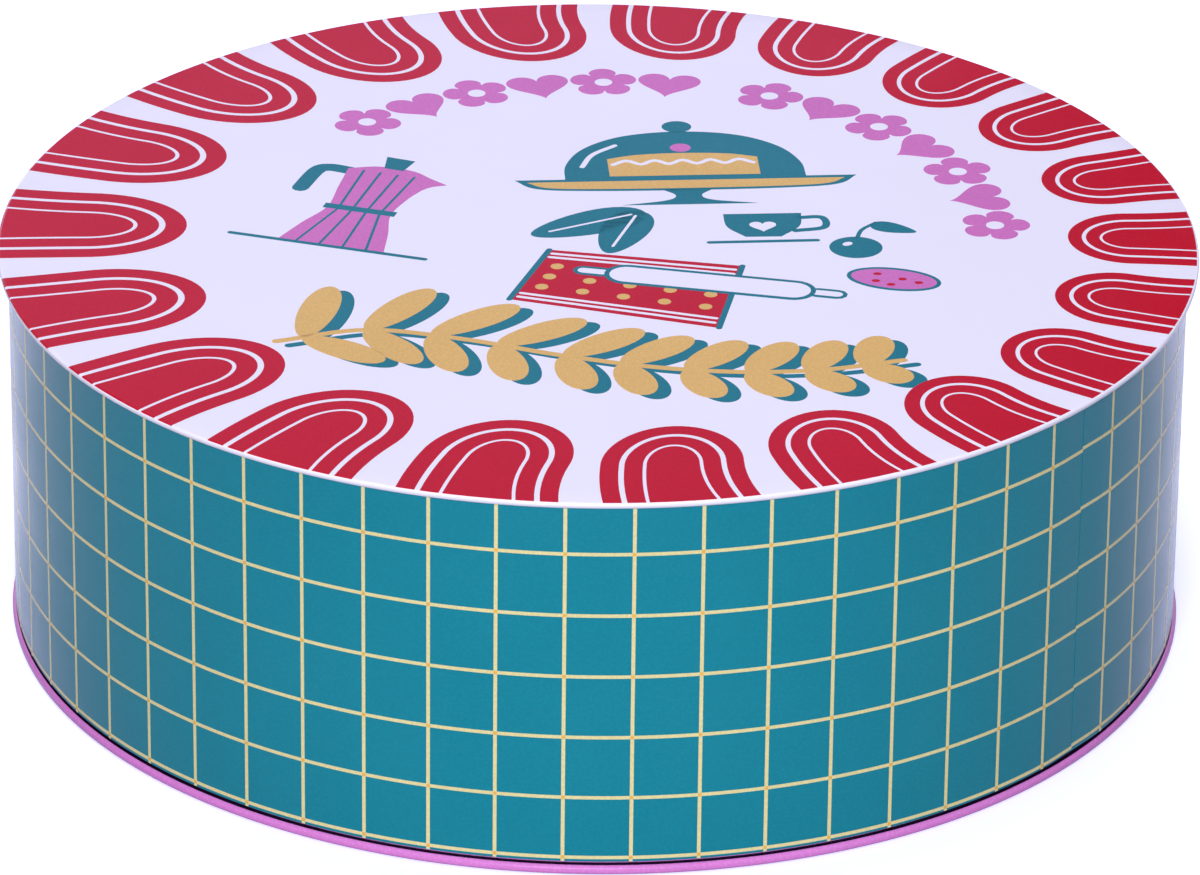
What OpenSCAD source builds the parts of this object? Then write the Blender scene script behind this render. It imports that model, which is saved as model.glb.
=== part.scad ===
// Round cookie tin with a full-depth lift-off lid.
// Four pressed tinplate pieces: the lid's top panel and skirt, the body's wall and bottom panel.
// Origin: centre of the base, on the table. +Z up, -Y is the front. Millimetres.

/* [Tin] */
// Outside diameter of the lid's skirt
skirt_d = 230; // [160:2:300]
// Height from the table to the top of the lid
height = 78.3; // [50:0.1:120]
// Thickness of the tinplate
sheet = 0.25; // [0.2:0.05:0.3]

/* [Lid] */
// How far the rolled top edge stands out past the skirt
edge_out = 2.1; // [1.6:0.1:3]
// Height of the rolled top edge
edge_h = 1.3; // [1.2:0.1:2]
// Height of the skirt's lower edge above the table
skirt_z = 2.5; // [2.2:0.1:4]
// Height of the hem folded inside the skirt's lower edge
hem_h = 4; // [2:0.5:6]
// Skirt's side seam, in degrees from the front towards the right
lid_seam_angle = 53; // [0:1:359]

/* [Body] */
// Radial gap between the skirt and the body's wall
wall_gap = 0.85; // [0.85:0.05:1.2]
// How far the bottom seam stands out past the lid's skirt
bead_out = 0.7; // [0.5:0.1:2]
// Height of the bottom seam
bead_h = 1.9; // [1.7:0.1:1.9]
// Height of the bottom panel's underside above the table
recess_h = 2; // [1.5:0.1:3]
// Diameter of the curl round the body's mouth
curl_d = 1.8; // [1.4:0.1:2.2]
// Gap between the curl and the closed lid's panel
mouth_gap = 0.3; // [0.3:0.1:1]
// Body's side seam, in degrees from the front towards the right
body_seam_angle = 160; // [0:1:359]

/* [Side seams] */
// Width of the folded lock seam inside each wall
seam_w = 4; // [3:0.5:6]
// Thickness of the lock seam inside each wall
seam_t = 0.4; // [0.3:0.05:0.4]
// Width of the seam line on the outside of each wall
seam_line_w = 0.3; // [0.2:0.05:0.5]

/* [Hidden] */
$fn = 96;

print_white = "lavender";
print_teal = "teal";
lacquer_pink = "orchid";

skirt_r = skirt_d / 2;
edge_r = skirt_r + edge_out;        // widest part of the lid
wall_r = skirt_r - sheet - wall_gap; // outside of the body's wall
bead_r = skirt_r + bead_out;        // widest part of the body
mouth_z = height - sheet - mouth_gap; // top of the body's curl
bend = 0.2;                         // inside radius of the small bends
fold_gap = 0.1;                     // air between folded layers
seam_line_d = sheet / 2;            // depth of the outside seam line
bead_round = 0.8;                   // outside corner radius of the bottom seam
flange_z = skirt_top() - sheet;     // underside of the skirt's flange

// Top of the skirt's flange, tucked under the lid's panel
function skirt_top() = height - sheet - fold_gap;

// Strip of sheet bent round a full circle, seen end on
module bent_ring(outer) {
    difference() {
        circle(outer);
        circle(outer - sheet);
    }
}

// One quarter of a bent strip: x and y say which way the quarter lies from its centre
module quarter_bend(outer, x, y) {
    intersection() {
        bent_ring(outer);
        translate([x < 0 ? -outer : 0, y < 0 ? -outer : 0]) square(outer);
    }
}

// Straight strip of sheet between two corners of the profile
module strip(from, to) {
    translate(from) square(to - from);
}

// Folded lock seam on the inside of a wall of outside radius r
module lock_seam(r, angle, low, high) {
    inner = r - sheet;
    rotate([0, 0, angle])
        intersection() {
            translate([0, 0, low])
                difference() {
                    cylinder(r = inner, h = high - low);
                    translate([0, 0, -1]) cylinder(r = inner - seam_t, h = high - low + 2);
                }
            translate([-seam_w / 2, -r - 1, low]) cube([seam_w, r, high - low]);
        }
}

// Fine line where the sheet's two edges meet on the outside of a wall
module seam_line(r, angle, low, high) {
    rotate([0, 0, angle])
        translate([-seam_line_w / 2, -r - 1, low])
            cube([seam_line_w, 1 + seam_line_d, high - low]);
}

// Flat top, its edge rolled out, down and back in under the skirt's flange
module lid_panel() {
    roll = edge_h / 2;
    roll_r = edge_r - roll;
    color(print_white)
        rotate_extrude() {
            strip([0, height - sheet], [roll_r, height]);
            translate([roll_r, height - roll]) {
                quarter_bend(roll, 1, 1);
                quarter_bend(roll, 1, -1);
            }
            strip([skirt_r + fold_gap, height - edge_h], [roll_r, height - edge_h + sheet]);
        }
}

// Deep printed wall of the lid: flange at the top, folded hem at the bottom, lock seam inside
module lid_skirt() {
    bend_z = flange_z - bend;
    hem_t = 2 * sheet + fold_gap;
    hem_round = hem_t / 2;
    color(print_teal) {
        difference() {
            rotate_extrude() {
                strip([skirt_r - sheet, skirt_z + hem_round], [skirt_r, bend_z]);
                translate([skirt_r + bend, bend_z]) quarter_bend(bend + sheet, -1, 1);
                strip([skirt_r + bend, flange_z], [edge_r - edge_h / 2, flange_z + sheet]);
                translate([skirt_r - hem_round, skirt_z + hem_round]) {
                    quarter_bend(hem_round, 1, -1);
                    quarter_bend(hem_round, -1, -1);
                }
                strip([skirt_r - hem_t, skirt_z + hem_round], [skirt_r - hem_t + sheet, skirt_z + hem_h]);
            }
            seam_line(skirt_r, lid_seam_angle, skirt_z - 1, bend_z);
        }
        lock_seam(skirt_r, lid_seam_angle, skirt_z + hem_h + fold_gap, bend_z);
    }
}

// Inner wall: flange held in the bottom seam, curl turned inwards round the mouth
module body_wall() {
    curl = curl_d / 2;
    curl_z = mouth_z - curl;
    flange_low = sheet + fold_gap;
    bend_z = flange_low + sheet + bend;
    color(lacquer_pink) {
        difference() {
            rotate_extrude() {
                strip([wall_r - sheet, bend_z], [wall_r, curl_z]);
                translate([wall_r + bend, bend_z]) quarter_bend(bend + sheet, -1, -1);
                strip([wall_r + bend, flange_low], [bead_r - bead_round, flange_low + sheet]);
                translate([wall_r - curl, curl_z]) {
                    quarter_bend(curl, 1, 1);
                    quarter_bend(curl, -1, 1);
                    quarter_bend(curl, -1, -1);
                }
            }
            seam_line(wall_r, body_seam_angle, bead_h + 1, curl_z);
        }
        lock_seam(wall_r, body_seam_angle, recess_h + 2 * sheet, curl_z - curl - fold_gap);
    }
}

// Raised bottom panel, its edge taken down inside the wall and rolled round the wall's flange
module bottom_panel() {
    chuck_r = wall_r - sheet - fold_gap;
    rim_r = chuck_r - sheet - bend;
    foot_r = chuck_r + fold_gap;
    foot_round = fold_gap + sheet;
    bead_c = bead_r - bead_round;
    color(lacquer_pink)
        rotate_extrude() {
            strip([0, recess_h], [rim_r, recess_h + sheet]);
            translate([rim_r, recess_h - bend]) quarter_bend(bend + sheet, 1, 1);
            strip([chuck_r - sheet, foot_round], [chuck_r, recess_h - bend]);
            translate([foot_r, foot_round]) quarter_bend(foot_round, -1, -1);
            strip([foot_r, 0], [bead_c, sheet]);
            translate([bead_c, bead_round]) quarter_bend(bead_round, 1, -1);
            strip([bead_r - sheet, bead_round], [bead_r, bead_h - bead_round]);
            translate([bead_c, bead_h - bead_round]) quarter_bend(bead_round, 1, 1);
            strip([wall_r + fold_gap, bead_h - sheet], [bead_c, bead_h]);
        }
}

lid_panel();
lid_skirt();
body_wall();
bottom_panel();
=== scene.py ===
from math import atan, atan2, ceil, cos, hypot, pi, radians, sin, sqrt

import bmesh
import bpy
from mathutils import Matrix, Vector


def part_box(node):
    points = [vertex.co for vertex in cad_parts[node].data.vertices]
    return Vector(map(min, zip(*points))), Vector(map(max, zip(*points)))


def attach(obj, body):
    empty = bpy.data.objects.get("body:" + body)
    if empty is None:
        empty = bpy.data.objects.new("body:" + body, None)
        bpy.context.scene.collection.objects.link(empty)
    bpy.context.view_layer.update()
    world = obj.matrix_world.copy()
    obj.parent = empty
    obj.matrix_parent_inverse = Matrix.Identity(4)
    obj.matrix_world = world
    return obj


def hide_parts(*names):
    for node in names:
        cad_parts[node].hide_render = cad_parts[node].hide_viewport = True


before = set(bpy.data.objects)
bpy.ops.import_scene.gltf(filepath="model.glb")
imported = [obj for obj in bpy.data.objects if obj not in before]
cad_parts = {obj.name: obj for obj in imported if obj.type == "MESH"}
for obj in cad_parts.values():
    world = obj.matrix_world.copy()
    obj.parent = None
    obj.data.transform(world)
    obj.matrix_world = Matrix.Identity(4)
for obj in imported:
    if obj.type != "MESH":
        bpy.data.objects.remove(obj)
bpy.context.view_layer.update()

mm = 0.001
fullTurn = 2 * pi

# Places come from the CAD nodes; angles on the tin go from the front towards the right
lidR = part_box("lid_panel")[1].x / mm
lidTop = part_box("lid_panel")[1].z / mm
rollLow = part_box("lid_panel")[0].z / mm
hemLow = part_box("lid_skirt")[0].z / mm
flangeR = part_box("lid_skirt")[1].x / mm
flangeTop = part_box("lid_skirt")[1].z / mm
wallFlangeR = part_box("body_wall")[1].x / mm
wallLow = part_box("body_wall")[0].z / mm
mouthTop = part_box("body_wall")[1].z / mm
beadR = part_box("bottom_panel")[1].x / mm
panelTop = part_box("bottom_panel")[1].z / mm

tin = {
    "sheet": 0.25,        # thickness of the tinplate, mm
    "edgeOut": 2.1,       # rolled edge beyond the skirt
    "wallIn": 1.1,        # body wall inside the skirt
    "bend": 0.2,          # inside radius of the small bends
    "foldGap": 0.1,       # air between folded layers
    "segments": 256,      # steps round the tin
    "lidSeam": radians(53),
    "bodySeam": radians(160),
    "flatHalf": 7.0,      # half width of the flat that the side seam leaves in a wall
    "lineWide": 0.3,      # the line where a wall's two edges meet
    "lineDeep": 0.12,
    "lockWide": 4.0,      # folded lock seam inside each wall
    "lockThick": 0.4,
    "lockRound": 0.12,
    "lockClear": 0.3,     # the lock seam stops this far below the skirt's flange
    "hem": 4.0,           # height of the hem inside the skirt
    "curl": 0.9,          # radius of the curl round the body's mouth
    "seamLow": 3.0,       # the body's side seam starts at this height
    "beadCorner": 0.8,    # corner radius of the bottom seam
    "mergeWithin": 0.005,
}
sheet = tin["sheet"]
skirtR = lidR - tin["edgeOut"]
wallR = skirtR - tin["wallIn"]
beadTop = 1.9             # height of the bottom seam, mm

ink = {
    "step": 0.015,        # one pass of ink stands this much above the one below, mm
    "passes": 5,
    "sunk": 0.05,         # how far a film reaches into the sheet under it
    "apart": 0.00004,     # films of one ink lie this much apart in height, so that none share a face
    "spare": 0.005,       # left free above the top pass
}
printTop = lidTop - ink["step"] * ink["passes"] - ink["spare"]  # the bare top panel, under its ink


def linearColour(code, alpha=1.0):
    # sRGB hex to the linear values that the shader wants
    parts = [int(code[i:i + 2], 16) / 255 for i in (1, 3, 5)]
    return (*[p / 12.92 if p <= 0.04045 else ((p + 0.055) / 1.055) ** 2.4 for p in parts], alpha)


def addNode(tree, kind, values=None, links=None, **settings):
    made = tree.nodes.new(kind)
    for key, value in settings.items():
        setattr(made, key, value)
    for key, value in (values or {}).items():
        made.inputs[key].default_value = value
    for key, socket in (links or {}).items():
        tree.links.new(socket, made.inputs[key])
    return made


def clearSelection():
    if bpy.context.object and bpy.context.object.mode != "OBJECT":
        bpy.ops.object.mode_set(mode="OBJECT")
    bpy.ops.object.select_all(action="DESELECT")


def activate(piece):
    clearSelection()
    piece.select_set(True)
    bpy.context.view_layer.objects.active = piece


def applyModifier(piece, kind, **settings):
    activate(piece)
    modifier = piece.modifiers.new(kind.title(), kind)
    for key, value in settings.items():
        setattr(modifier, key, value)
    bpy.ops.object.modifier_apply(modifier=modifier.name)


def joinInto(piece, *others):
    activate(piece)
    for other in others:
        other.select_set(True)
    bpy.ops.object.join()


def finishPiece(piece, body, materials, smooth=30):
    activate(piece)
    if smooth:
        bpy.ops.object.shade_smooth_by_angle(angle=radians(smooth))
    piece.data.materials.clear()
    for material in materials:
        piece.data.materials.append(material)
    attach(piece, body)


def turnMesh(piece, angle):
    # what was modelled on +X goes to that angle round the tin
    piece.data.transform(Matrix.Rotation(angle - pi / 2, 4, "Z"))


printLook = {
    "roughness": (0.17, 0.25),  # stoved varnish, a little uneven
    "ior": 1.2,                 # thin varnish: typical 1.5, brought down to the tin's weak mirror image
    "patch": 26,                # mm across one soft patch of the ink
    "peel": 0.9,                # mm across one dimple of the varnish's orange peel
    "peelDeep": 0.0015,         # mm
    "screen": 0.6,              # mm between the screen's dots: really about 0.15, drawn this coarse to show
}


def printedTinplate(name, colour, mottle=0.035, screenShare=0.13, shade=0.84):
    # Litho ink on tinplate under a clear stoved varnish: an even, slightly glossy colour with faint soft
    # patches, a trace of the screen's dots, and orange peel in the varnish
    material = bpy.data.materials.new(name)
    material.use_nodes = True
    tree = material.node_tree
    tree.nodes.clear()
    place = addNode(tree, "ShaderNodeTexCoord").outputs["Object"]
    patches = addNode(tree, "ShaderNodeTexNoise", {"Scale": 1 / (printLook["patch"] * mm), "Detail": 3.0,
                                                   "Roughness": 0.55}, {"Vector": place})
    screen = addNode(tree, "ShaderNodeTexVoronoi", {"Scale": 1 / (printLook["screen"] * mm)},
                     {"Vector": place})
    peel = addNode(tree, "ShaderNodeTexNoise", {"Scale": 1 / (printLook["peel"] * mm), "Detail": 1.0},
                   {"Vector": place})
    base = linearColour(colour)
    deep = [c * shade for c in base[:3]] + [1]
    patchShare = addNode(tree, "ShaderNodeMapRange", {"From Min": 0.3, "From Max": 0.7, "To Min": 0.0,
                                                      "To Max": mottle / (1 - shade)},
                         {"Value": patches.outputs[0]})
    dotShare = addNode(tree, "ShaderNodeMapRange", {"From Min": 0.0, "From Max": 0.6, "To Min": 0.0,
                                                    "To Max": screenShare / (1 - shade)},
                       {"Value": screen.outputs["Distance"]})
    share = addNode(tree, "ShaderNodeMath", links={0: patchShare.outputs[0], 1: dotShare.outputs[0]},
                    operation="ADD", use_clamp=True)
    tone = addNode(tree, "ShaderNodeMix", {"A": base, "B": deep}, {"Factor": share.outputs[0]},
                   data_type="RGBA")
    colourOut = tone.outputs["Result"]
    gloss = addNode(tree, "ShaderNodeMapRange",
                    {"From Min": 0.3, "From Max": 0.7, "To Min": printLook["roughness"][0],
                     "To Max": printLook["roughness"][1]}, {"Value": patches.outputs[0]})
    bump = addNode(tree, "ShaderNodeBump", {"Strength": 1.0, "Distance": printLook["peelDeep"] * mm},
                   {"Height": peel.outputs[0]})
    shader = addNode(tree, "ShaderNodeBsdfPrincipled", {"IOR": printLook["ior"]},
                     {"Base Color": colourOut, "Roughness": gloss.outputs[0], "Normal": bump.outputs[0]})
    addNode(tree, "ShaderNodeOutputMaterial", links={"Surface": shader.outputs[0]})
    return material


def bareTinplate(name):
    # Tin-coated steel left bare: bright grey metal with fine rolling lines and soft cloudy marks.
    # Meant for the insides, and not seen yet: finishPiece clears the materials, which puts every face
    # back on the first one
    material = bpy.data.materials.new(name)
    material.use_nodes = True
    tree = material.node_tree
    tree.nodes.clear()
    place = addNode(tree, "ShaderNodeTexCoord").outputs["Object"]
    along = addNode(tree, "ShaderNodeMapping", {"Scale": (0.03, 1.0, 1.0)}, {"Vector": place})
    lines = addNode(tree, "ShaderNodeTexNoise", {"Scale": 1 / (0.5 * mm), "Detail": 2.0},
                    {"Vector": along.outputs[0]})
    clouds = addNode(tree, "ShaderNodeTexNoise", {"Scale": 1 / (18 * mm), "Detail": 4.0}, {"Vector": place})
    tone = addNode(tree, "ShaderNodeMix", {"A": linearColour("#C9C9C6"), "B": linearColour("#B4B3AF")},
                   {"Factor": clouds.outputs[0]}, data_type="RGBA")
    rough = addNode(tree, "ShaderNodeMapRange", {"From Min": 0.3, "From Max": 0.7, "To Min": 0.24,
                                                 "To Max": 0.4}, {"Value": lines.outputs[0]})
    bump = addNode(tree, "ShaderNodeBump", {"Strength": 0.5, "Distance": 0.002 * mm},
                   {"Height": lines.outputs[0]})
    shader = addNode(tree, "ShaderNodeBsdfPrincipled", {"Metallic": 1.0},
                     {"Base Color": tone.outputs["Result"], "Roughness": rough.outputs[0],
                      "Normal": bump.outputs[0]})
    addNode(tree, "ShaderNodeOutputMaterial", links={"Surface": shader.outputs[0]})
    return material


whiteInk = printedTinplate("white_ink_on_tinplate", "#E4E1F8", mottle=0.012, screenShare=0.006, shade=0.96)
tealInk = printedTinplate("teal_ink_on_tinplate", "#158AA2")
deepTealInk = printedTinplate("deep_teal_ink_on_tinplate", "#22798F")
redInk = printedTinplate("red_ink_on_tinplate", "#C41A32")
pinkInk = printedTinplate("pink_ink_on_tinplate", "#D177C5")
goldInk = printedTinplate("gold_ink_on_tinplate", "#E0B673")
gridInk = printedTinplate("yellow_line_ink_on_tinplate", "#F0E3AA")
crossingInk = printedTinplate("double_yellow_ink_on_tinplate", "#F2C068")
pinkLacquer = printedTinplate("pink_lacquer_on_tinplate", "#E58AE2")
# painted shade: near-black ink for the shade in the gap between the lid's hem and the bottom seam
paintedGapShade = printedTinplate("painted_gap_shade", "#1F0A2E")
tinplate = bareTinplate("bare_tinplate_inside")
print("materials made:", len(bpy.data.materials))


def startFilm(name):
    clearSelection()
    bpy.ops.mesh.primitive_plane_add(size=mm, location=(0, 0, 0))
    piece = bpy.context.object
    piece.name = piece.data.name = name
    bpy.ops.object.mode_set(mode="EDIT")
    bpy.ops.mesh.select_all(action="SELECT")
    bpy.ops.mesh.delete(type="VERT")
    return piece


def addFilmFace(piece, points):
    # one face of any outline, left selected
    bpy.ops.mesh.select_all(action="DESELECT")
    bpy.ops.mesh.primitive_circle_add(vertices=len(points), radius=mm, fill_type="NGON", location=(0, 0, 0))
    mesh = bmesh.from_edit_mesh(piece.data)
    fresh = next(face for face in mesh.faces if face.select).verts
    for vertex, point in zip(fresh, points):
        vertex.co = [p * mm for p in point]
    bmesh.update_edit_mesh(piece.data)


# Sheet metal: an outline of the sheet's outer face, spun round the tin and given its thickness

def arc(cx, cz, radius, start, end, steps=6):
    # points of a round bend, angles in degrees from outwards towards up
    turn = [radians(start + (end - start) * i / steps) for i in range(steps + 1)]
    return [(cx + radius * cos(a), cz + radius * sin(a)) for a in turn]


def spunSheet(name, outline, seenFrom):
    clearSelection()
    bpy.ops.mesh.primitive_plane_add(size=mm, location=(0, 0, 0))
    piece = bpy.context.object
    piece.name = piece.data.name = name
    bpy.ops.object.mode_set(mode="EDIT")
    bpy.ops.mesh.select_all(action="SELECT")
    bpy.ops.mesh.merge(type="CENTER")
    bpy.ops.transform.translate(value=(outline[0][0] * mm, 0, outline[0][1] * mm))
    for (r0, z0), (r1, z1) in zip(outline, outline[1:]):
        step = ((r1 - r0) * mm, 0, (z1 - z0) * mm)
        bpy.ops.mesh.extrude_vertices_move(TRANSFORM_OT_translate={"value": step})
    bpy.ops.mesh.select_all(action="SELECT")
    bpy.ops.mesh.spin(steps=tin["segments"], angle=fullTurn, center=(0, 0, 0), axis=(0, 0, 1))
    bpy.ops.mesh.select_all(action="SELECT")
    bpy.ops.mesh.remove_doubles(threshold=tin["mergeWithin"] * mm)
    bpy.ops.mesh.normals_make_consistent(inside=False)
    bpy.ops.object.mode_set(mode="OBJECT")
    eye = Vector(seenFrom)
    near = min(piece.data.polygons, key=lambda face: (face.center - eye).length)
    if near.normal.dot(eye - near.center) < 0:
        bpy.ops.object.mode_set(mode="EDIT")
        bpy.ops.mesh.select_all(action="SELECT")
        bpy.ops.mesh.flip_normals()
        bpy.ops.object.mode_set(mode="OBJECT")
    applyModifier(piece, "SOLIDIFY", thickness=sheet * mm, offset=-1, use_even_offset=True,
                  material_offset=1, material_offset_rim=1)
    for material in (whiteInk, tinplate):
        piece.data.materials.append(material)
    return piece


def seamShift(co, seam):
    # a wall lies flat across its side seam
    flat = tin["flatHalf"] / skirtR
    away = (atan2(co.x, -co.y) - seam + pi) % fullTurn - pi
    if abs(away) < flat:
        share = cos(flat) / cos(away)
        co.x *= share
        co.y *= share


def flattenAtSeam(piece, seam):
    for vertex in piece.data.vertices:
        seamShift(vertex.co, seam)


def blockAt(name, size, place, angle):
    # a block modelled on +X, then turned to its angle round the tin
    clearSelection()
    bpy.ops.mesh.primitive_cube_add(size=1, location=(0, 0, 0))
    block = bpy.context.object
    block.name = block.data.name = name
    block.data.transform(Matrix.Diagonal((*[s * mm for s in size], 1)))
    block.data.transform(Matrix.Translation([p * mm for p in place]))
    turnMesh(block, angle)
    return block


def sideSeam(piece, radius, seam, low, high, lockLow, lockHigh):
    # the line outside, and the folded lock seam inside
    flatR = radius * cos(tin["flatHalf"] / skirtR)
    depth = 1.0
    cutter = blockAt("seam_cutter", (depth, tin["lineWide"], high - low),
                     (flatR - tin["lineDeep"] + depth / 2, 0, (low + high) / 2), seam)
    applyModifier(piece, "BOOLEAN", operation="DIFFERENCE", solver="EXACT", object=cutter)
    bpy.data.objects.remove(cutter)
    thick = tin["lockThick"] + ink["sunk"]
    lockR = flatR - sheet - tin["lockThick"] / 2 + ink["sunk"] / 2
    lock = blockAt("lock_seam", (thick, tin["lockWide"], lockHigh - lockLow),
                   (lockR, 0, (lockLow + lockHigh) / 2), seam)
    applyModifier(lock, "BEVEL", width=tin["lockRound"] * mm, segments=2)
    for material in (whiteInk, tinplate):
        lock.data.materials.append(material)
    for face in lock.data.polygons:
        face.material_index = 1
    joinInto(piece, lock)


def makeLidPanel():
    roll = (printTop - rollLow) / 2
    rollR = lidR - roll
    outline = [(0, printTop), (40, printTop), (80, printTop), (112, printTop)]
    outline += arc(rollR, printTop - roll, roll, 90, -90, 12)
    outline += [(skirtR + tin["foldGap"], rollLow)]
    piece = spunSheet("lid_panel_tin", outline, (0, 0, 0.3))
    finishPiece(piece, "lid", [whiteInk, tinplate])
    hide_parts("lid_panel")


def makeLidSkirt():
    bend = tin["bend"]
    hem = sheet + tin["foldGap"] / 2
    under = flangeTop - sheet
    hemHigh = hemLow + tin["hem"]
    outline = [(flangeR, under)]
    outline += arc(skirtR + bend, under - bend, bend, 90, 180)
    outline += [(skirtR, 60), (skirtR, 40), (skirtR, 20)]
    outline += arc(skirtR - hem, hemLow + hem, hem, 0, -180, 12)
    outline += [(skirtR - 2 * hem, hemHigh)]
    piece = spunSheet("lid_skirt_tin", outline, (0.3, 0, 0.04))
    flattenAtSeam(piece, tin["lidSeam"])
    sideSeam(piece, skirtR, tin["lidSeam"], hemLow - 1, under - bend,
             hemHigh + tin["foldGap"], under - bend - tin["lockClear"])
    finishPiece(piece, "lid", [tealInk, tinplate])
    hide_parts("lid_skirt")


def makeBodyWall():
    bend = tin["bend"]
    curl = tin["curl"]
    curlZ = mouthTop - curl
    flange = wallLow + sheet
    outline = [(wallFlangeR, flange)]
    outline += arc(wallR + bend, flange + bend, bend, 270, 180)
    outline += [(wallR, 20), (wallR, 40), (wallR, 60)]
    outline += arc(wallR - curl, curlZ, curl, 0, 270, 18)
    piece = spunSheet("body_wall_tin", outline, (0.3, 0, 0.04))
    flattenAtSeam(piece, tin["bodySeam"])
    sideSeam(piece, wallR, tin["bodySeam"], tin["seamLow"], curlZ,
             tin["seamLow"], curlZ - curl - tin["foldGap"])
    finishPiece(piece, "body", [pinkLacquer, tinplate])
    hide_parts("body_wall")


# a ring of painted shade on top of the bottom seam, under the lid's hem
gapShade = {
    "wide": 1.0,      # mm, out from the wall
    "thick": 0.04,
    "sunk": 0.03,
    "slit": 0.00002,  # the ring's ends stay this far apart, radians
}


def makeGapShadeRing():
    # painted shade: a dark ring lying on the bottom seam against the wall, standing in for the shade in the
    # gap under the lid's hem
    low, high = beadTop - gapShade["sunk"], beadTop + gapShade["thick"]
    inner = wallR + tin["foldGap"]
    outer = inner + gapShade["wide"]
    piece = startFilm("painted_gap_shade_ring")
    addFilmFace(piece, [(inner, 0, low), (outer, 0, low), (outer, 0, high), (inner, 0, high)])
    bpy.ops.mesh.spin(steps=tin["segments"], angle=fullTurn - 2 * gapShade["slit"], center=(0, 0, 0),
                      axis=(0, 0, 1))
    bpy.ops.mesh.select_all(action="SELECT")
    bpy.ops.mesh.normals_make_consistent(inside=False)
    bpy.ops.object.mode_set(mode="OBJECT")
    finishPiece(piece, "body", [paintedGapShade])


def makeBottomPanel():
    bend = tin["bend"]
    gap = tin["foldGap"]
    underside = panelTop - sheet
    chuckR = wallR - sheet - gap
    foot = gap + sheet
    corner = tin["beadCorner"]
    beadC = beadR - corner
    outline = [(0, underside), (40, underside), (80, underside), (109, underside)]
    outline += arc(chuckR - sheet - bend, underside - bend, bend, 90, 0)
    outline += arc(chuckR + gap, foot, foot, 180, 270)
    outline += arc(beadC, corner, corner, -90, 0)
    outline += arc(beadC, beadTop - corner, corner, 0, 90)
    outline += [(wallR + gap, beadTop)]
    piece = spunSheet("bottom_panel_tin", outline, (0, 0, -0.3))
    finishPiece(piece, "body", [pinkLacquer, tinplate])
    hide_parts("bottom_panel")


makeLidPanel()
makeLidSkirt()
makeBodyWall()
makeBottomPanel()
makeGapShadeRing()
print("sheet metal pieces made")


grid = {
    "line": 0.7,              # width of a line, mm
    "firstUpright": -0.27007,  # one upright near the front, radians
    "rightOfFirst": 10,       # uprights between it and the seam
    "uprights": 56,
    "seamCell": 0.173,        # the cell across the seam is wider
    "firstRow": 66.75,        # height of the highest row, mm
    "rowStep": 12.66,
    "rows": 6,
    "climb": 0.4,             # the rows climb this much from one side of the seam round to the other
    "stand": 0.03,            # film above the skirt, mm
    "slit": 0.00002,          # the rows' ends stay this far from the seam, radians
}
gridPitch = (fullTurn - grid["seamCell"]) / (grid["uprights"] - 1)
rowHeights = [grid["firstRow"] - grid["rowStep"] * i for i in range(grid["rows"])]


def settleOnSkirt(piece, climbs):
    for vertex in piece.data.vertices:
        if climbs:
            away = (atan2(vertex.co.x, -vertex.co.y) - tin["lidSeam"]) % fullTurn
            vertex.co.z += grid["climb"] * (1 - away / fullTurn) * mm
        seamShift(vertex.co, tin["lidSeam"])


def addFilmBlock(centre, size):
    bpy.ops.mesh.select_all(action="DESELECT")
    bpy.ops.mesh.primitive_cube_add(size=1, location=(0, 0, 0))
    bpy.ops.transform.resize(value=[s * mm for s in size])
    bpy.ops.transform.translate(value=[c * mm for c in centre])


def makeRows():
    film = grid["stand"] + ink["sunk"]
    piece = startFilm("grid_rows")
    for height in rowHeights:
        bpy.ops.mesh.select_all(action="DESELECT")
        bpy.ops.mesh.primitive_plane_add(size=1, location=(0, 0, 0), rotation=(pi / 2, 0, 0))
        bpy.ops.transform.resize(value=(film * mm, 1, grid["line"] * mm))
        bpy.ops.transform.translate(value=((skirtR + grid["stand"] - film / 2) * mm, 0, height * mm))
    bpy.ops.mesh.select_all(action="SELECT")
    bpy.ops.mesh.spin(steps=tin["segments"], angle=fullTurn - 2 * grid["slit"], center=(0, 0, 0),
                      axis=(0, 0, 1))
    bpy.ops.mesh.select_all(action="SELECT")
    bpy.ops.mesh.normals_make_consistent(inside=False)
    bpy.ops.object.mode_set(mode="OBJECT")
    turnMesh(piece, tin["lidSeam"] - grid["slit"])
    settleOnSkirt(piece, True)
    finishPiece(piece, "lid", [gridInk])


def makeUprights():
    film = grid["stand"] + ink["sunk"]
    low, high = hemLow + 0.2, flangeTop - sheet - tin["bend"]
    piece = startFilm("grid_uprights")
    addFilmBlock((skirtR + grid["stand"] - film / 2, 0, (low + high) / 2), (film, grid["line"], high - low))
    bpy.ops.mesh.spin(steps=grid["uprights"] - 1, angle=gridPitch * (grid["uprights"] - 1), dupli=True,
                      center=(0, 0, 0), axis=(0, 0, 1))
    bpy.ops.mesh.select_all(action="SELECT")
    bpy.ops.mesh.normals_make_consistent(inside=False)
    bpy.ops.object.mode_set(mode="OBJECT")
    turnMesh(piece, grid["firstUpright"] + gridPitch * grid["rightOfFirst"])
    settleOnSkirt(piece, False)
    finishPiece(piece, "lid", [gridInk], smooth=0)


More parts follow.
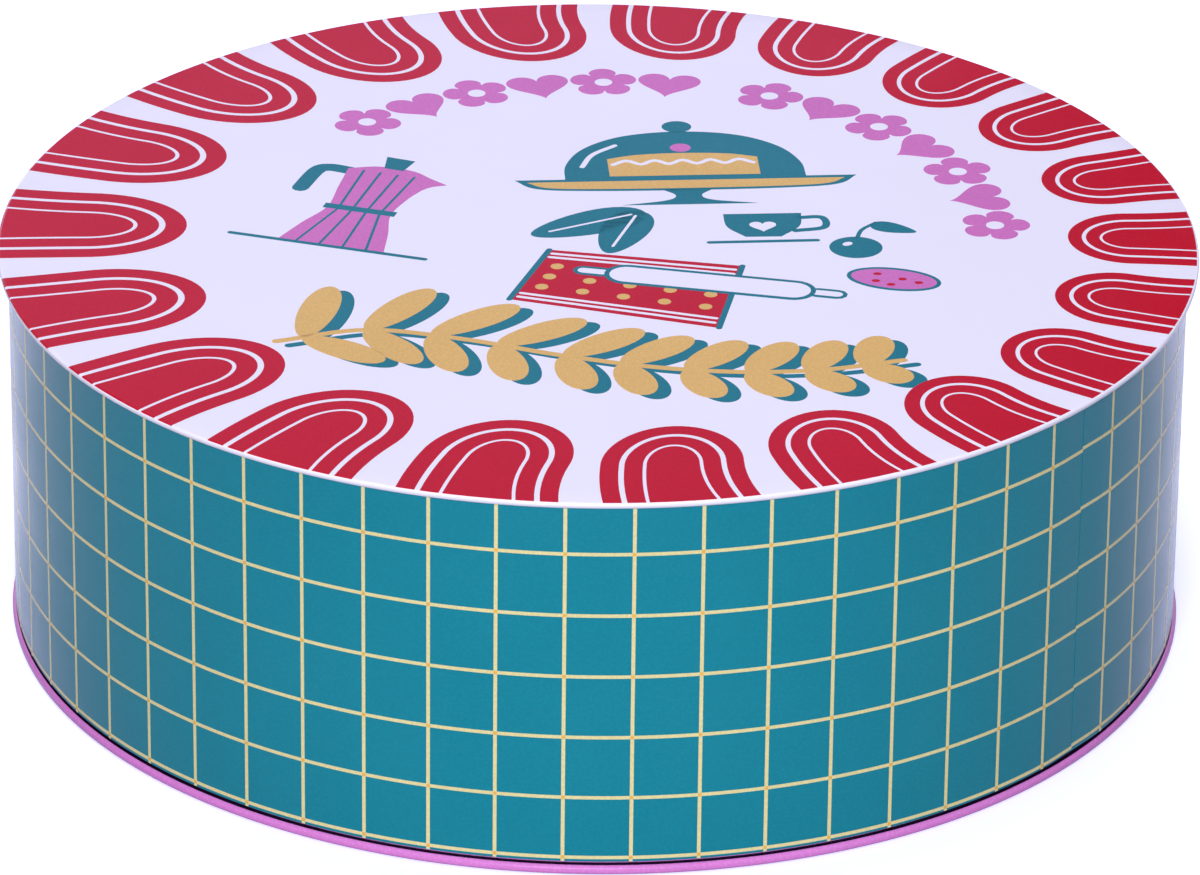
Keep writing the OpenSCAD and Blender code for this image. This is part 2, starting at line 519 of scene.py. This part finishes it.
def makeCrossings():
    # both passes of yellow lie on each other where the lines cross
    film = grid["stand"] + ink["step"] + ink["sunk"]
    piece = startFilm("grid_crossings")
    for height in rowHeights:
        addFilmBlock((skirtR + grid["stand"] + ink["step"] - film / 2, 0, height),
                     (film, grid["line"], grid["line"]))
    bpy.ops.mesh.select_all(action="SELECT")
    bpy.ops.mesh.spin(steps=grid["uprights"] - 1, angle=gridPitch * (grid["uprights"] - 1), dupli=True,
                      center=(0, 0, 0), axis=(0, 0, 1))
    bpy.ops.mesh.select_all(action="SELECT")
    bpy.ops.mesh.normals_make_consistent(inside=False)
    bpy.ops.object.mode_set(mode="OBJECT")
    turnMesh(piece, grid["firstUpright"] + gridPitch * grid["rightOfFirst"])
    settleOnSkirt(piece, True)
    finishPiece(piece, "lid", [crossingInk], smooth=0)


makeRows()
makeUprights()
makeCrossings()
print("skirt grid made")


# The lid's picture: outlines in millimetres on the lid, x to the right and y to the back

def smoothRun(points, steps=7):
    # a smooth line through the points; two points stay straight
    if len(points) == 2:
        return list(points)
    ends = [tuple(2 * a - b for a, b in zip(points[0], points[1])),
            *points,
            tuple(2 * a - b for a, b in zip(points[-1], points[-2]))]
    run = []
    for p0, p1, p2, p3 in zip(ends, ends[1:], ends[2:], ends[3:]):
        for i in range(steps):
            t = i / steps
            run.append(tuple(0.5 * (2 * b + (c - a) * t + (2 * a - 5 * b + 4 * c - d) * t * t
                                    + (3 * b - a - 3 * c + d) * t ** 3)
                             for a, b, c, d in zip(p0, p1, p2, p3)))
    return run + [tuple(points[-1])]


def loopOf(*runs):
    # closed outline: smooth runs that meet in corners
    loop = []
    for run in runs:
        for point in smoothRun(run):
            if not loop or hypot(point[0] - loop[-1][0], point[1] - loop[-1][1]) > 0.02:
                loop.append(point)
    if hypot(loop[0][0] - loop[-1][0], loop[0][1] - loop[-1][1]) < 0.02:
        loop.pop()
    return loop


def ovalAt(x, y, rx, ry, tilt=0, steps=40):
    c, s = cos(radians(tilt)), sin(radians(tilt))
    turn = [fullTurn * i / steps for i in range(steps)]
    return [(x + rx * cos(a) * c - ry * sin(a) * s, y + rx * cos(a) * s + ry * sin(a) * c) for a in turn]


def leafAt(x, y, length, width, tilt, point=0.45, steps=36):
    # from its stalk at (x, y) to its tip, narrower towards the tip
    c, s = cos(radians(tilt)), sin(radians(tilt))
    loop = []
    for i in range(steps):
        a = fullTurn * i / steps
        u = length / 2 * (1 + cos(a))
        v = width / 2 * sin(a) * (1 - point * cos(a))
        loop.append((x + u * c - v * s, y + u * s + v * c))
    return loop


def flowerAt(x, y, radius, tilt, petals=5, steps=80):
    loop = []
    for i in range(steps):
        a = fullTurn * i / steps
        reach = radius * (0.6 + 0.4 * sqrt(abs(cos(petals / 2 * a))))
        loop.append((x + reach * cos(a + radians(tilt)), y + reach * sin(a + radians(tilt))))
    return loop


def heartAt(x, y, size, tilt, steps=48):
    c, s = cos(radians(tilt)), sin(radians(tilt))
    loop = []
    for i in range(steps):
        a = -fullTurn * i / steps
        u = size / 34 * 16 * sin(a) ** 3
        v = size / 34 * (13 * cos(a) - 5 * cos(2 * a) - 2 * cos(3 * a) - cos(4 * a))
        loop.append((x + u * c - v * s, y + u * s + v * c))
    return loop


def lineOf(points, width, ends=5):
    # a line of even width along a run of points, with round ends
    left, right = [], []
    for i, (x, y) in enumerate(points):
        before, after = points[max(i - 1, 0)], points[min(i + 1, len(points) - 1)]
        ways = [(b[0] - a[0], b[1] - a[1]) for a, b in ((before, (x, y)), ((x, y), after)) if a != b]
        ways = [(dx / hypot(dx, dy), dy / hypot(dx, dy)) for dx, dy in ways]
        tx, ty = sum(w[0] for w in ways), sum(w[1] for w in ways)
        size = hypot(tx, ty)
        reach = width / 2 * min(len(ways) / size, 2)
        left.append((x - ty / size * reach, y + tx / size * reach))
        right.append((x + ty / size * reach, y - tx / size * reach))
    loop = list(right)
    for (x, y), start in ((points[-1], right[-1]), (points[0], left[0])):
        a = atan2(start[1] - y, start[0] - x)
        if start is left[0]:
            loop += left[::-1]
        loop += [(x + width / 2 * cos(a + pi * i / ends), y + width / 2 * sin(a + pi * i / ends))
                 for i in range(1, ends)]
    return loop


def placed(points, origin, tilt, scale=1.0):
    c, s = cos(radians(tilt)) * scale, sin(radians(tilt)) * scale
    return [(origin[0] + x * c - y * s, origin[1] + x * s + y * c) for x, y in points]


picture = {name: [] for name in ("red", "pink", "teal", "gold", "white")}


def printShape(colour, level, loop):
    picture[colour].append((level, loop))


arches = {
    "count": 20,
    "phase": -0.3,          # degrees, first arch from the front
    "apex": 86.9,           # the arches' inner ends, from the middle of the print
    "halfWide": 13.4,
    "tall": 16.0,
    "spread": 0.085,        # how fast the legs part
    "bands": ((0, 3.4), (4.4, 7.8)),
    "solid": 8.45,          # inset of the solid middle
    "trim": 116.45,         # the flat part of the print ends here, where the edge starts to roll
    "skew": 0.141,          # the print is larger on the left than on the right
    "skewWay": 5.0,         # degrees
    "middle": (-1.6, 1.29),
    "printR": 116.0,
}


def skewed(point):
    # keeps the print's circle, and draws its middle to one side
    c, way = arches["skew"], radians(arches["skewWay"])
    u = (point[0] * cos(way) + point[1] * sin(way)) / arches["printR"]
    w = (point[1] * cos(way) - point[0] * sin(way)) / arches["printR"]
    u, w = (u + c) / (1 + c * u), w * sqrt(1 - c * c) / (1 + c * u)
    return (arches["printR"] * (u * cos(way) - w * sin(way)) + arches["middle"][0],
            arches["printR"] * (u * sin(way) + w * cos(way)) + arches["middle"][1])


def atTrim(inner, outer):
    # where a leg crosses the edge of the print
    dx, dy = outer[0] - inner[0], outer[1] - inner[1]
    a, b = dx * dx + dy * dy, inner[0] * dx + inner[1] * dy
    c = inner[0] ** 2 + inner[1] ** 2 - arches["trim"] ** 2
    t = (sqrt(b * b - a * c) - b) / a
    return (inner[0] + dx * t, inner[1] + dy * t)


def legTo(before, start, way, steps=6):
    # a leg leaves the arch smoothly and ends at the edge of the print
    end = atTrim(start, (start[0] + cos(way), start[1] + sin(way)))
    reach = hypot(end[0] - start[0], end[1] - start[1]) / 2
    size = hypot(start[0] - before[0], start[1] - before[1])
    bend = [start[i] + (start[i] - before[i]) / size * reach for i in (0, 1)]
    shares = [n / steps for n in range(1, steps + 1)]
    return [tuple((1 - t) ** 2 * start[i] + 2 * t * (1 - t) * bend[i] + t * t * end[i] for i in (0, 1))
            for t in shares]


def archLine(angle, inset, steps=28):
    # one arch line from its right leg over the apex to its left leg
    springs = arches["apex"] + arches["tall"]
    half = arches["halfWide"] - inset
    run = [(half * cos(pi * i / steps), springs - (arches["tall"] - inset) * sin(pi * i / steps))
           for i in range(steps + 1)]
    line = [skewed((r * sin(angle) - x * cos(angle), -r * cos(angle) - x * sin(angle))) for x, r in run]
    foot = skewed((arches["printR"] * sin(angle), -arches["printR"] * cos(angle)))
    way, lean = atan2(foot[1], foot[0]), atan(arches["spread"])
    right, left = legTo(line[1], line[0], way - lean), legTo(line[-2], line[-1], way + lean)
    return right[::-1] + line + left


rimSpans = []   # where the red print runs on over the rolled edge: two angles each


def addRimSpan(one, other):
    start, end = atan2(one[1], one[0]), atan2(other[1], other[0])
    sweep = (end - start + pi) % fullTurn - pi
    rimSpans.append((start, sweep) if sweep > 0 else (end, -sweep))
    return start, sweep


def drawArches():
    for k in range(arches["count"]):
        angle = radians(arches["phase"]) + fullTurn * k / arches["count"]
        for near, far in arches["bands"]:
            outer, inner = archLine(angle, near), archLine(angle, far)
            printShape("red", 1, outer + inner[::-1])
            addRimSpan(outer[0], inner[0])
            addRimSpan(outer[-1], inner[-1])
        solid = archLine(angle, arches["solid"])
        start, sweep = addRimSpan(solid[-1], solid[0])
        edge = [start + sweep * i / 6 for i in range(1, 6)]
        printShape("red", 1, solid + [(arches["trim"] * cos(a), arches["trim"] * sin(a)) for a in edge])


blossoms = {
    "middle": (4.88, 3.09),
    "radius": 73.0,
    "from": 135.0,
    "to": 3.6,
    "count": 13,
    "firstGroup": 6,        # then a gap
    "gap": 0.6,             # in steps
    "flower": 6.9,
    "heart": 13.6,
    "eye": 1.8,
}


def drawBlossoms():
    # an arc of flowers and hearts, in two groups
    step = (blossoms["to"] - blossoms["from"]) / (blossoms["count"] - 1 + blossoms["gap"])
    for i in range(blossoms["count"]):
        tilt = blossoms["from"] + step * (i + blossoms["gap"] * (i >= blossoms["firstGroup"]))
        x = blossoms["middle"][0] + blossoms["radius"] * cos(radians(tilt))
        y = blossoms["middle"][1] + blossoms["radius"] * sin(radians(tilt))
        if i % 2 == 0:
            printShape("pink", 1, flowerAt(x, y, blossoms["flower"], tilt))
            printShape("white", 2, ovalAt(x, y, blossoms["eye"], blossoms["eye"], steps=20))
        else:
            printShape("pink", 1, heartAt(x, y, blossoms["heart"], tilt - 90))


cakeStand = {
    "middle": (17.2, 29.0),   # middle of the plate's top edge
    "tilt": 4.0,
    "line": 1.1,              # width of the cover's shine and of the icing
}


def drawCakeStand():
    # a cake under a round cover with a knob, on a stand with a stem and a foot
    at = lambda loop: placed(loop, cakeStand["middle"], cakeStand["tilt"])
    plate = [(-34, 0), (-30, -4.2), (-20, -5.6), (0, -6), (20, -5.6), (30, -4.2), (34, 0)]
    printShape("teal", 1, at(loopOf(plate, [(34, 0), (-34, 0)])))
    filling = [(x * 0.93, y * 0.64 - 1.15) for x, y in plate]
    printShape("gold", 2, at(loopOf(filling, [filling[-1], filling[0]])))
    stem = [(5, -5.6), (2.6, -8.4), (4.6, -10.8), (13.5, -12.8)]
    mirrored = [(-x, y) for x, y in stem]
    foot = [(13.5, -12.8), (-13.5, -12.8)]
    printShape("teal", 1, at(loopOf(stem, foot, mirrored[::-1], [(-5, -5.6), (5, -5.6)])))
    cover = [(24, -0.3), (23.4, 7), (19.5, 14.8), (11.5, 20.6), (0, 22.6), (-11.5, 20.6), (-19.5, 14.8),
             (-23.4, 7), (-24, -0.3)]
    printShape("teal", 1, at(loopOf(cover, [(-24, -0.3), (24, -0.3)])))
    printShape("teal", 1, at(ovalAt(0, 25.0, 3.0, 2.8, steps=28)))
    shine = smoothRun([(-20.2, 6), (-17.8, 11.8), (-13, 16.2)])
    printShape("white", 2, at(lineOf(shine, cakeStand["line"])))
    cakeTop = [(15, 9.6), (9, 11.4), (0, 12.0), (-9, 11.4), (-15, 9.6)]
    printShape("gold", 2, at(loopOf([(-15, 1.2), (15, 1.2)], [(15, 1.2), (15, 9.6)], cakeTop,
                                    [(-15, 9.6), (-15, 1.2)])))
    drips = [(2.8 * i - 14, 8.6 if i % 2 else 6.8) for i in range(11)]
    printShape("white", 3, at(lineOf(smoothRun(drips, 4), cakeStand["line"])))
    printShape("pink", 2, at(ovalAt(0, 14.6, 2.1, 2.0, steps=24)))


cup = {
    "place": (1.2, -2.0),    # moves the whole cup
    "heart": (31.0, 8.2),
    "handle": 1.5,
    "shelf": 1.2,
}


def drawCupAndBerries():
    at = lambda loop: placed(loop, cup["place"], 0)
    body = [(38.6, 14.6), (38.2, 8.5), (34.6, 3.4)]
    left = [(27.6, 3.0), (24.0, 7.6), (23.2, 13.6)]
    printShape("teal", 1, at(loopOf(body, [(34.6, 3.4), (27.6, 3.0)], left, [(23.2, 13.6), (38.6, 14.6)])))
    printShape("white", 2, at(heartAt(*cup["heart"], 5.6, 3)))
    handle = smoothRun([(38.0, 12.4), (42.6, 12.6), (43.0, 8.0), (37.4, 6.2)])
    printShape("teal", 1, at(lineOf(handle, cup["handle"])))
    printShape("teal", 1, at(lineOf([(20.5, 0.2), (41.5, 1.8)], cup["shelf"])))
    printShape("teal", 1, ovalAt(50.2, -3.4, 5.2, 5.0))
    printShape("white", 2, ovalAt(48.6, -1.8, 1.1, 0.8, 40, 16))
    printShape("teal", 1, lineOf(smoothRun([(50.6, 1.4), (51.6, 5.0), (54.4, 8.4)]), 0.9))
    printShape("teal", 1, leafAt(53.4, 7.6, 9.5, 4.4, -22))


leaves = {
    "each": (((9.0, 12.4), 25, 10.5, 208), ((8.0, 12.8), 21, 9.5, 253)),   # stalk, length, width, tilt
    "vein": (0.12, 0.84),     # its ends, as shares of the leaf's length
    "veinWide": 0.6,
}


def drawLeaves():
    for (x, y), length, width, tilt in leaves["each"]:
        printShape("teal", 1, leafAt(x, y, length, width, tilt, point=0.25))
        vein = placed([(length * share, 0) for share in leaves["vein"]], (x, y), tilt)
        printShape("white", 2, lineOf(vein, leaves["veinWide"]))


towel = {
    "corners": ((-9.5, -6.0), (28.0, -12.6), (23.2, -41.0), (-17.0, -29.0)),
    "stripes": (0.07, 0.14, 0.86, 0.93),     # shares of the way from its back edge to its front edge
    "stripeWide": 0.9,
    "dots": 5,                               # in a row
    "dotRows": (0.3, 0.5, 0.7),
    "dotR": 1.3,
    "edgeWide": 1.2,
}


def between(one, other, share):
    return tuple(a + (b - a) * share for a, b in zip(one, other))


def onTowel(across, down):
    backLeft, backRight, frontRight, frontLeft = towel["corners"]
    return between(between(backLeft, backRight, across), between(frontLeft, frontRight, across), down)


def drawTowel():
    # a towel with striped ends, spots and a dark edge on each side
    printShape("red", 1, towel["corners"][::-1])
    for down in towel["stripes"]:
        printShape("white", 2, lineOf([onTowel(0.03, down), onTowel(0.97, down)], towel["stripeWide"]))
    for down in towel["dotRows"]:
        for i in range(towel["dots"]):
            x, y = onTowel((i + 0.5) / towel["dots"], down)
            printShape("gold", 2, ovalAt(x, y, towel["dotR"], towel["dotR"], steps=18))
    for across in (0, 1):
        printShape("teal", 2, lineOf([onTowel(across, 0), onTowel(across, 1)], towel["edgeWide"]))


rollingPin = {
    "left": (3.0, -16.6),
    "tilt": -11.4,
    "length": 38.0,
    "radius": 4.4,
    "grip": (8.0, 2.0),      # length and radius of a handle
    "edge": 1.0,             # dark edge of the roller
    "gripEdge": 0.9,
    "roundFrom": 0.6,        # the ends of the roller are round from this share of its radius
}


def drawRollingPin():
    at = lambda loop: placed(loop, rollingPin["left"], rollingPin["tilt"])
    length, radius, edge = (rollingPin[key] for key in ("length", "radius", "edge"))
    gripLong, gripR = rollingPin["grip"]
    for x in (-gripLong / 2, length + gripLong / 2):
        grip = [(x - gripLong / 4, 0), (x + gripLong / 4, 0)]
        printShape("teal", 3, at(lineOf(grip, 2 * gripR)))
        printShape("white", 4, at(lineOf(grip, 2 * (gripR - rollingPin["gripEdge"]))))
    inset = radius * rollingPin["roundFrom"]
    roller = [(inset, 0), (length - inset, 0)]
    printShape("teal", 4, at(lineOf(roller, 2 * radius, ends=12)))
    printShape("white", 5, at(lineOf(roller, 2 * (radius - edge), ends=12)))


cookie = {
    "place": (57.2, -18.0),
    "size": (9.3, 5.1),
    "tilt": -14.0,
    "edge": 0.85,
    "crumbs": ((-3.6, 1.5), (-3.2, -1.7), (1.6, 0.4), (0.0, -2.6), (5.0, -0.4)),
    "crumb": (0.85, 0.65),
}


def drawCookie():
    x, y = cookie["place"]
    rx, ry = cookie["size"]
    printShape("teal", 3, ovalAt(x, y, rx, ry, cookie["tilt"]))
    printShape("pink", 4, ovalAt(x, y, rx - cookie["edge"], ry - cookie["edge"], cookie["tilt"]))
    for crumb in placed(cookie["crumbs"], cookie["place"], cookie["tilt"]):
        printShape("red", 5, ovalAt(*crumb, *cookie["crumb"], steps=14))


coffeePot = {
    "foot": (-52.2, -5.4),    # middle of its foot, on the shelf line
    "tilt": -17.0,
    "line": 0.55,
    "handle": 3.4,
    "shelf": 1.15,
}


def drawCoffeePot():
    # a coffee pot with flutes, a band round its waist, and a lid with a knob
    at = lambda loop: placed(loop, coffeePot["foot"], coffeePot["tilt"])
    right = [(10.8, 0.6), (8.9, 9), (6.6, 17.5), (7.3, 25.5), (8.6, 30.6)]
    spout = [(8.6, 30.6), (10.0, 32.8), (12.6, 34.6)]
    brow = [(12.6, 34.6), (8.6, 36.6), (4.0, 39.0), (-3.0, 39.0), (-8.6, 36.4)]
    left = [(-8.6, 36.2), (-7.6, 27), (-6.6, 17.5), (-8.9, 9), (-10.8, 0.6)]
    printShape("pink", 1, at(loopOf(right, spout, brow, left, [(-10.8, 0.6), (10.8, 0.6)])))
    printShape("teal", 2, at([(-7.4, 17.0), (7.4, 17.0), (7.4, 19.2), (-7.4, 19.2)]))
    printShape("teal", 2, at([(-1.8, 38.6), (2.2, 38.4), (3.0, 43.6), (-3.0, 44.0)]))
    handle = smoothRun([(-8.0, 35.4), (-12.2, 35.6), (-14.2, 33.4), (-14.6, 24.5)])
    printShape("teal", 1, at(lineOf(handle, coffeePot["handle"])))
    for top, foot in ((-4.4, -7.2), (-1.5, -2.4), (1.5, 2.4), (4.4, 7.2)):
        printShape("teal", 2, at(lineOf([(top, 16.8), (foot, 0.4)], coffeePot["line"])))
        printShape("teal", 2, at(lineOf([(top, 19.4), (top * 1.2, 36.2)], coffeePot["line"])))
    printShape("teal", 2, at(lineOf([(-20.6, 0), (19.4, 0)], coffeePot["shelf"])))


branch = {
    "stem": [(-61, -49), (-44, -43.5), (-26, -47), (-8, -53.5), (10, -58.5), (27, -60.4),
             (43, -59), (58, -54.5)],
    "stemWide": 1.7,
    "shadow": (2.5, -1.8),
    "leaves": 10,
    "open": 56,               # degrees between a leaf and the stem
    "leafLong": (24.0, 13.0), # at the left end and at the right end
    "leafWide": 7.4,
    "frontShare": 0.8,        # length of the front side's leaves, as a share of the back side's
}


def drawBranch():
    # a leafy branch with a drop shadow
    stem = smoothRun(branch["stem"], 10)
    shapes = [lineOf(stem, branch["stemWide"])]
    for i in range(branch["leaves"]):
        share = (i + 0.5) / branch["leaves"]
        k = int(share * (len(stem) - 2))
        x, y = stem[k]
        way = atan2(stem[k + 1][1] - y, stem[k + 1][0] - x) * 180 / pi
        first, last = branch["leafLong"]
        length = first + (last - first) * share
        for side, size in ((1, length), (-1, length * branch["frontShare"])):
            shapes.append(leafAt(x, y, size, branch["leafWide"], way + side * branch["open"], point=-0.1))
    dx, dy = branch["shadow"]
    for loop in shapes:
        printShape("teal", 1, [(x + dx, y + dy) for x, y in loop])
        printShape("gold", 2, loop)


def makeFilm(name, colour, material):
    # each shape of one ink is a thin closed film on the lid's panel
    piece = startFilm(name)
    base = printTop - ink["sunk"]
    for count, (level, loop) in enumerate(picture[colour]):
        low = base - ink["apart"] * count
        addFilmFace(piece, [(x, y, low) for x, y in loop])
        thick = ink["sunk"] + ink["step"] * level
        bpy.ops.mesh.extrude_region_move(TRANSFORM_OT_translate={"value": (0, 0, thick * mm)})
    bpy.ops.mesh.select_all(action="SELECT")
    bpy.ops.mesh.normals_make_consistent(inside=False)
    bpy.ops.object.mode_set(mode="OBJECT")
    finishPiece(piece, "lid", [material], smooth=0)


rimPrint = {
    "from": 116.4,          # mm from the middle, under the end of the flat print
    "over": 40,             # degrees that the print runs on over the roll
    "towardsLeft": 20,      # more at the left and back: the sheet was pressed a little off the print
    "towardsBack": 22,
    "least": 8,             # below this there is none
    "steps": 5,
    "stepAlong": 1.4,       # degrees round the tin
    "stand": 0.9,           # above the sheet, in passes of ink
}


def makeRimPrint():
    piece = startFilm("red_rim_print")
    roll = (printTop - rollLow) / 2
    centre = (lidR - roll, printTop - roll)
    skin = ink["step"] * rimPrint["stand"]
    for start, sweep in rimSpans:
        middle = start + sweep / 2
        shift = rimPrint["towardsBack"] * sin(middle) - rimPrint["towardsLeft"] * cos(middle)
        over = rimPrint["over"] + shift
        if over < rimPrint["least"]:
            continue
        profile = [(rimPrint["from"], printTop + skin)]
        profile += arc(*centre, roll + skin, 90, 90 - over, rimPrint["steps"])
        profile += arc(*centre, roll - ink["sunk"], 90 - over, 90, rimPrint["steps"])
        profile += [(rimPrint["from"], printTop - ink["sunk"])]
        end = start + sweep
        addFilmFace(piece, [(r * cos(end), r * sin(end), z) for r, z in profile])
        bpy.ops.mesh.spin(steps=ceil(sweep / radians(rimPrint["stepAlong"])), angle=sweep, center=(0, 0, 0),
                          axis=(0, 0, 1))
    bpy.ops.mesh.select_all(action="SELECT")
    bpy.ops.mesh.normals_make_consistent(inside=False)
    bpy.ops.object.mode_set(mode="OBJECT")
    finishPiece(piece, "lid", [redInk])


drawArches()
drawBlossoms()
drawCakeStand()
drawCupAndBerries()
drawLeaves()
drawTowel()
drawRollingPin()
drawCookie()
drawCoffeePot()
drawBranch()
makeRimPrint()
makeFilm("red_picture_print", "red", redInk)
makeFilm("pink_picture_print", "pink", pinkInk)
makeFilm("teal_picture_print", "teal", deepTealInk)
makeFilm("gold_picture_print", "gold", goldInk)
makeFilm("white_picture_print", "white", whiteInk)
print("lid picture made:", sum(len(shapes) for shapes in picture.values()), "shapes")


studio = {
    "floorWide": 12.0,            # m
    "world": ("#B9BCE8", 0.06),
    "paper": "#ECEAFB",
    "glow": ("#C6CAFF", 0.74),    # the paper's own light, as on a light table
    "key": {"place": (-0.12, -2.3, 0.9), "size": 1.0, "power": 62},
    "top": {"place": (-0.05, 0.25, 1.9), "size": 1.5, "power": 26.6},
    "fillRight": {"place": (1.05, 2.27, 0.7), "size": 1.0, "power": 8.5, "colour": "#E4E2FF"},
    "fillLeft": {"place": (-1.05, 2.27, 0.7), "size": 1.0, "power": 8.5, "colour": "#E4E2FF"},
    "back": {"place": (-0.35, 3.0, 1.0), "size": 1.1, "power": 3.8, "colour": "#C4C4FF"},
}


def makeFloor():
    clearSelection()
    bpy.ops.mesh.primitive_plane_add(size=studio["floorWide"], location=(0, 0, 0))
    floor = bpy.context.object
    floor.name = "studio_floor"
    material = bpy.data.materials.new("pale_paper_floor")
    material.use_nodes = True
    shader = material.node_tree.nodes["Principled BSDF"]
    shader.inputs["Base Color"].default_value = linearColour(studio["paper"])
    colour, strength = studio["glow"]
    shader.inputs["Emission Color"].default_value = linearColour(colour)
    shader.inputs["Emission Strength"].default_value = strength
    shader.inputs["Roughness"].default_value = 0.9
    shader.inputs["Specular IOR Level"].default_value = 0.1
    floor.data.materials.append(material)
    floor.visible_diffuse = False     # the paper's light would fill the tin's shaded sides


def softLight(name, place, size, power, colour="#FFFFFF", aim=(0, 0, 0.04)):
    clearSelection()
    bpy.ops.object.light_add(type="AREA", location=place)
    lamp = bpy.context.object
    lamp.name = name
    lamp.data.shape = "SQUARE"
    lamp.data.size = size
    lamp.data.energy = power
    lamp.data.color = linearColour(colour)[:3]
    lamp.rotation_euler = (Vector(aim) - Vector(place)).to_track_quat("-Z", "Y").to_euler()


def makeWorld():
    world = bpy.data.worlds.new("studio_air")
    world.use_nodes = True
    colour, strength = studio["world"]
    background = world.node_tree.nodes["Background"]
    background.inputs["Color"].default_value = linearColour(colour)
    background.inputs["Strength"].default_value = strength
    bpy.context.scene.world = world
    bpy.context.scene.view_settings.view_transform = "Standard"


eye = {
    "lens": 249.12,        # mm on a 36 mm sensor
    "shiftX": 0.0031,
    "distance": 1.6399,    # m from the middle of the tin
    "rise": 25.92,         # degrees above the table
    "roll": 0.5975,
    "aimHeight": 0.0348,
}


def makeCamera():
    clearSelection()
    rise = radians(eye["rise"])
    place = Vector((0, -cos(rise), sin(rise))) * eye["distance"] + Vector((0, 0, eye["aimHeight"]))
    bpy.ops.object.camera_add(location=place)
    camera = bpy.context.object
    camera.data.lens = eye["lens"]
    camera.data.sensor_width = 36
    camera.data.shift_x = eye["shiftX"]
    camera.data.clip_start = 0.05
    turn = Matrix.Rotation(pi / 2 - rise, 4, "X") @ Matrix.Rotation(radians(eye["roll"]), 4, "Z")
    camera.matrix_world = Matrix.Translation(place) @ turn
    bpy.context.scene.camera = camera


makeFloor()
softLight("key_light", **studio["key"])
softLight("top_light", **studio["top"])
softLight("back_light", **studio["back"])
softLight("right_fill", **studio["fillRight"])
softLight("left_fill", **studio["fillLeft"])
makeWorld()
makeCamera()
print("studio made")
